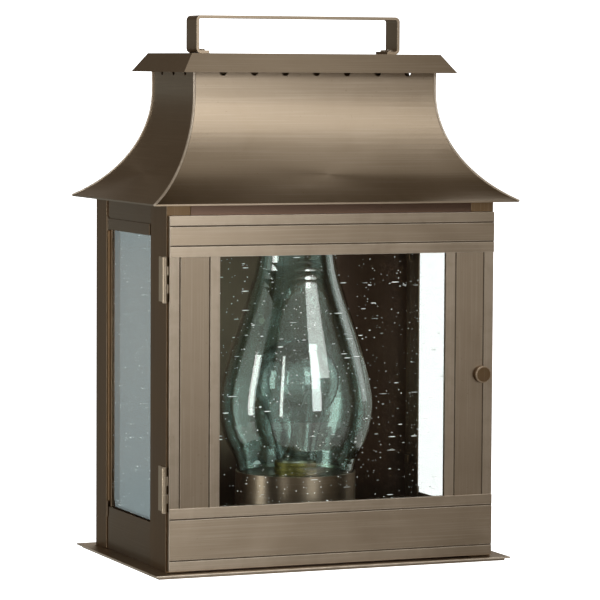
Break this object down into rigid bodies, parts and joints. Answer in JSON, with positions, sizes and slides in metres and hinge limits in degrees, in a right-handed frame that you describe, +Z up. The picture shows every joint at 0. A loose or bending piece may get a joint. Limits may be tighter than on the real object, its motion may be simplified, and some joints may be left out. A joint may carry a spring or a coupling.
{
  "type": "outdoor wall lantern",
  "caption": "Brass wall lantern with a hinged glazed door, seeded glass sides, glass chimney over a bulb, flared hipped roof, vented cap, carry handle and a rear mounting pan.",
  "frame": {"origin": "middle of the crossbar on the wall plane, between its two box slots", "axes": "+Z up, +Y into the wall, so the lantern's glazed door faces -Y, and +X to the right of a person facing the lantern"},
  "size_m": [0.2666, 0.1723, 0.3801],
  "materials": {
    "antique_brass": "brushed antique brass, satin",
    "dark_brass": "darker brushed antique brass, satin",
    "bright_brass": "brushed brass with a light antique patina",
    "seedy_glass": "clear seeded glass with small trapped bubbles",
    "chimney_glass": "clear pale green blown glass",
    "lamp_glass": "clear bulb glass",
    "socket_brass": "dull drawn brass",
    "lamp_base": "rolled screw base, satin",
    "tungsten": "dull grey wire",
    "porcelain": "glazed white",
    "black_rubber": "matt black",
    "zinc_steel": "zinc plated",
    "green_screw": "green passivated"
  },
  "bodies": {
    "cabin": {"base_plate": "antique_brass", "base_hem": "antique_brass", "post_front_left": "dark_brass", "post_front_right": "dark_brass", "post_rear_left": "dark_brass", "post_rear_right": "dark_brass", "side_sill_left": "dark_brass", "side_sill_right": "dark_brass", "side_header_left": "dark_brass", "side_header_right": "dark_brass", "side_glass_left": "seedy_glass", "side_glass_right": "seedy_glass", "glass_clips_left": "dark_brass", "glass_clips_right": "dark_brass", "back_panel": "dark_brass", "front_header": "dark_brass", "front_sill": "dark_brass", "roof_front": "antique_brass", "roof_rear": "antique_brass", "roof_left": "antique_brass", "roof_right": "antique_brass", "cap_straps": "dark_brass", "vent_cap": "antique_brass", "carry_handle": "antique_brass", "handle_rivets": "bright_brass", "hinge_leaf_upper": "antique_brass", "hinge_leaf_lower": "antique_brass", "hinge_pin_upper": "bright_brass", "hinge_pin_lower": "bright_brass", "gallery_drum": "antique_brass", "gallery_top": "antique_brass", "drum_bushing": "black_rubber", "socket_body": "porcelain", "socket_shell": "socket_brass", "socket_contact": "socket_brass", "socket_nipple": "socket_brass", "nipple_nut": "socket_brass", "mounting_pan": "dark_brass", "crossbar": "zinc_steel", "mounting_studs": "bright_brass", "cap_nuts": "bright_brass", "wire_grommet": "black_rubber", "ground_screw": "green_screw"},
    "door": {"door_rail_bottom": "antique_brass", "door_rail_top": "antique_brass", "door_stile_left": "antique_brass", "door_stile_right": "antique_brass", "door_glass": "seedy_glass", "door_glass_clips": "dark_brass", "door_leaf_upper": "antique_brass", "door_leaf_lower": "antique_brass"},
    "latch": {"latch_knob": "antique_brass", "latch_shaft": "bright_brass", "latch_washer": "bright_brass", "latch_tongue": "bright_brass"},
    "lamp": {"bulb_base": "lamp_base", "bulb_glass": "lamp_glass", "bulb_stem": "lamp_glass", "bulb_filament": "tungsten"},
    "chimney": {"chimney": "chimney_glass"}
  },
  "joints": [
    {"name": "door_hinge", "type": "hinge", "parent": "cabin", "child": "door", "pos_m": [-0.1218, -0.1604, 0], "axis": [0, 0, -1], "range_deg": [0, 115]},
    {"name": "latch_turn", "type": "hinge", "parent": "door", "child": "latch", "pos_m": [0.11, -0.1604, -0.0028], "axis": [0, -1, 0], "range_deg": [0, 90]},
    {"name": "chimney_lift", "type": "slide", "parent": "cabin", "child": "chimney", "axis": [0, 0, 1], "range_m": [0, 0.028]},
    {"name": "lamp_removal", "type": "slide", "parent": "cabin", "child": "lamp", "axis": [0, 0, 1], "range_m": [0, 0.024]}
  ]
}
